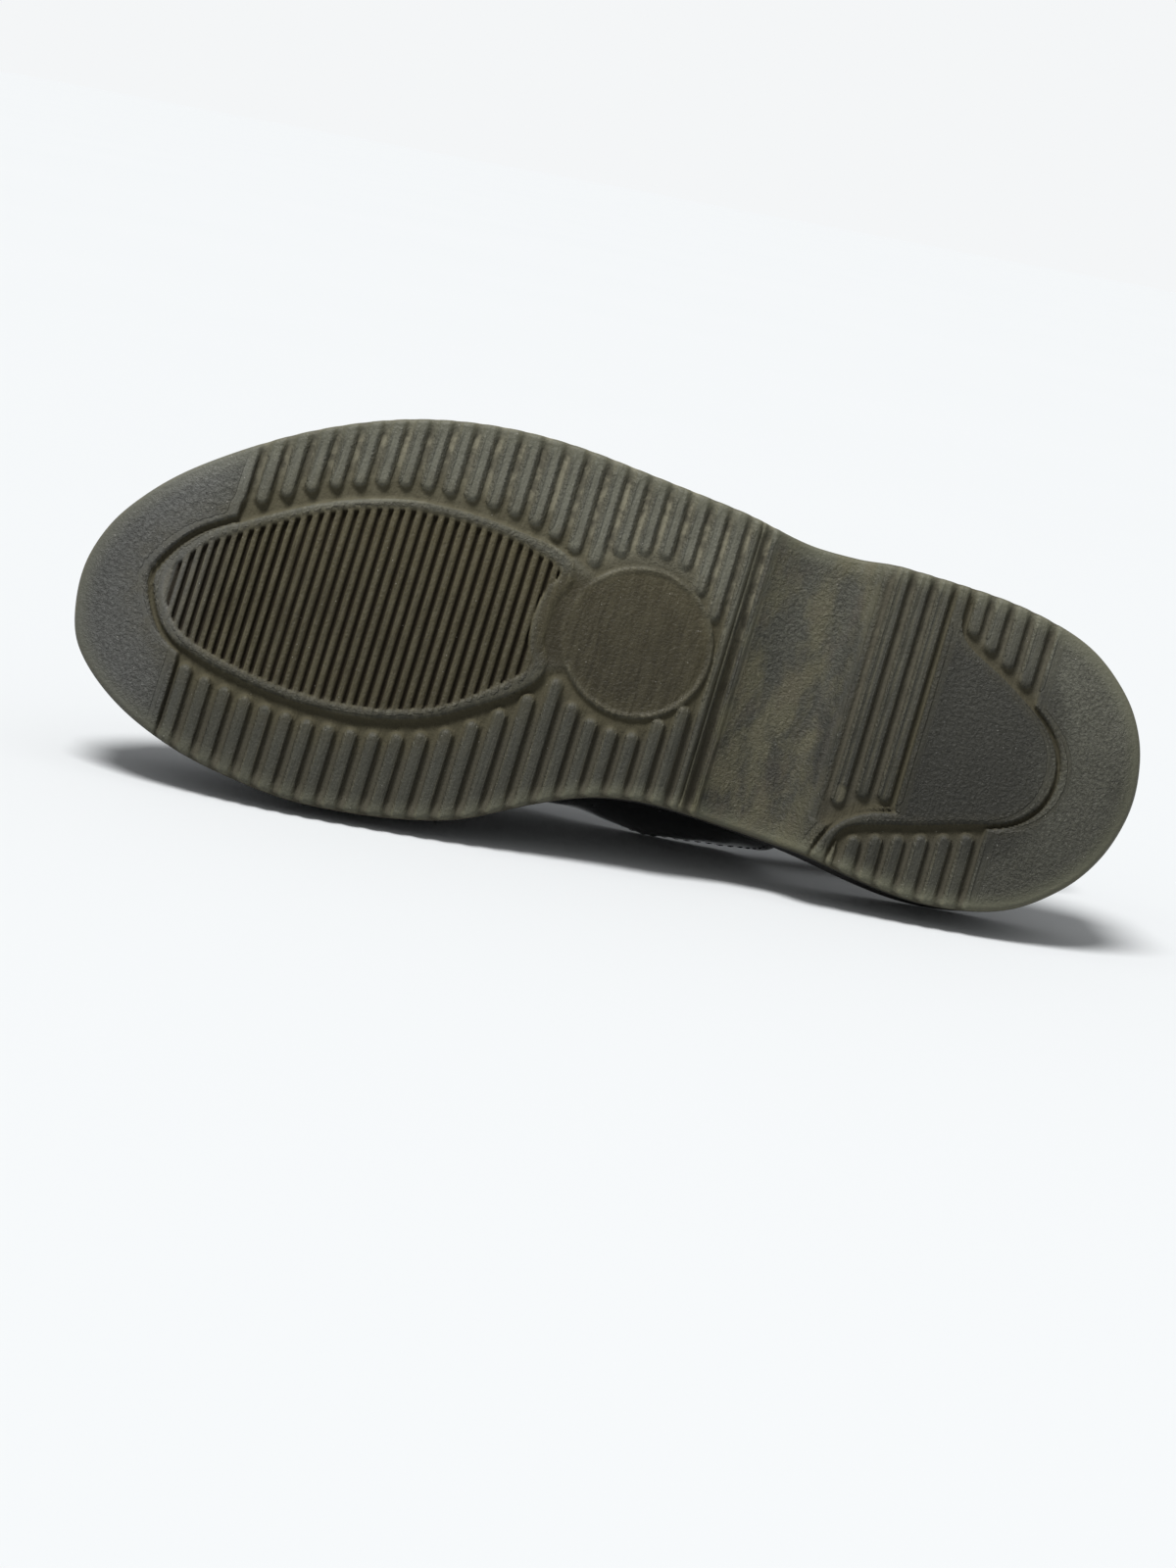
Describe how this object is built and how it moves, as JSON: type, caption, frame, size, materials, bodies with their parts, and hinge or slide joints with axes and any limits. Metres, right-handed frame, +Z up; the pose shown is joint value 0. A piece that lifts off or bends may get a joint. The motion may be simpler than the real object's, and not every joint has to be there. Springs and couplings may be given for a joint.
{
  "type": "slingback loafer",
  "caption": "Patent leather slingback loafer with a ribbed rubber sole, raised apron seam, saddle strap and buckled heel strap, lying on its inner side.",
  "frame": {"origin": "bottom centre of the box round the shoe as it lies on its inner side", "axes": "-X towards the toe, -Y out of the tread, +Z up to the shoe's outer side"},
  "size_m": [0.2816, 0.102, 0.1064],
  "materials": {
    "sole_rubber": "translucent dark olive-grey moulded rubber, worn",
    "welt_edge": "matte black",
    "footbed": "smooth black lining leather",
    "patent_leather": "high-gloss black patent",
    "buckle_metal": "polished nickel"
  },
  "bodies": {
    "root": {"outsole": "sole_rubber", "welt": "welt_edge", "insole": "footbed", "upper": "patent_leather", "saddle_strap": "patent_leather", "sling_strap": "patent_leather", "buckle_tab": "patent_leather", "strap_keeper": "patent_leather", "buckle_frame": "buckle_metal", "buckle_prong": "buckle_metal"}
  },
  "joints": []
}
